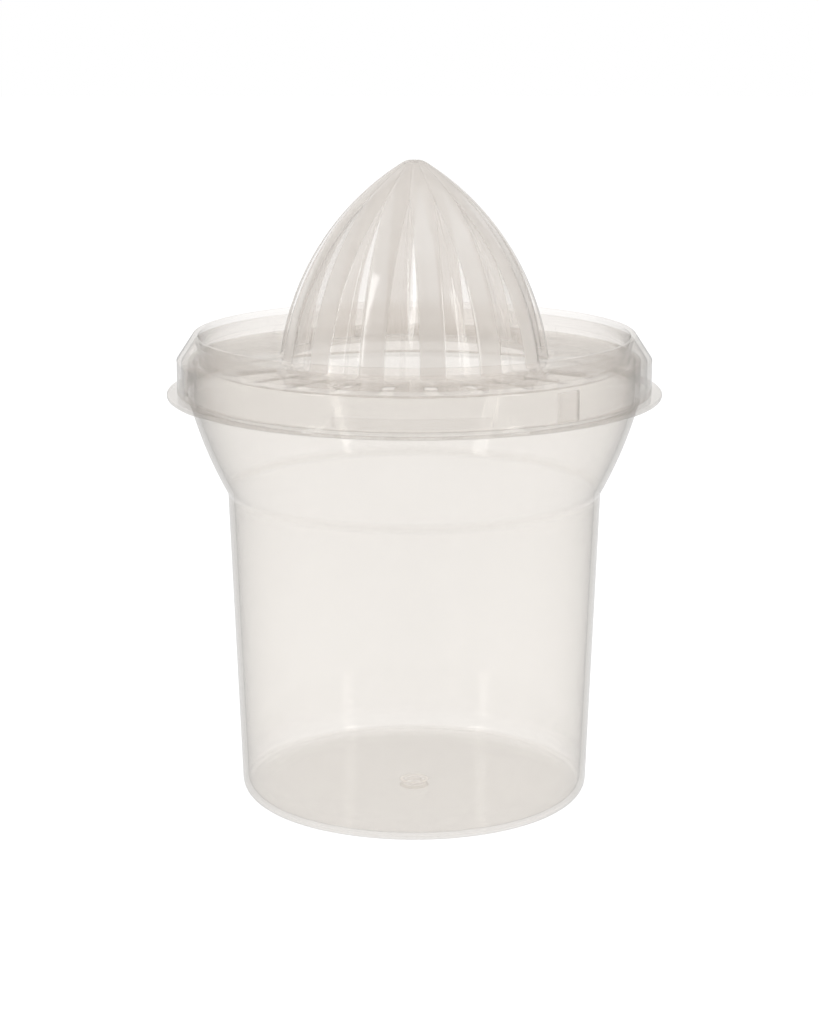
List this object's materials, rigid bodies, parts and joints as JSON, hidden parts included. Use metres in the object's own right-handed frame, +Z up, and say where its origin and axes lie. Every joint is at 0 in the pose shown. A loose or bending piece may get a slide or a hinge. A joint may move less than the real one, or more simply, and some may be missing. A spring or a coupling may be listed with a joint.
{
  "type": "citrus juicer",
  "caption": "Hand citrus juicer: a translucent flared container with a lift-off lid that carries a ribbed reamer cone, a juice trough and strainer slots.",
  "frame": {"origin": "middle of the container's underside, on the surface it stands on", "axes": "+Z up along the juicer's own axis, -Y is the side with the strainer slots"},
  "size_m": [0.125, 0.125, 0.163],
  "materials": {
    "container_plastic": "translucent natural polypropylene, smooth",
    "lid_plastic": "translucent natural polypropylene, smooth, thicker and so milkier"
  },
  "bodies": {
    "container": {"container": "container_plastic"},
    "lid": {"reamer_lid": "lid_plastic"}
  },
  "joints": [
    {"name": "lid_lift", "type": "slide", "parent": "container", "child": "lid", "axis": [0, 0, 1], "range_m": [0, 0.06]}
  ]
}
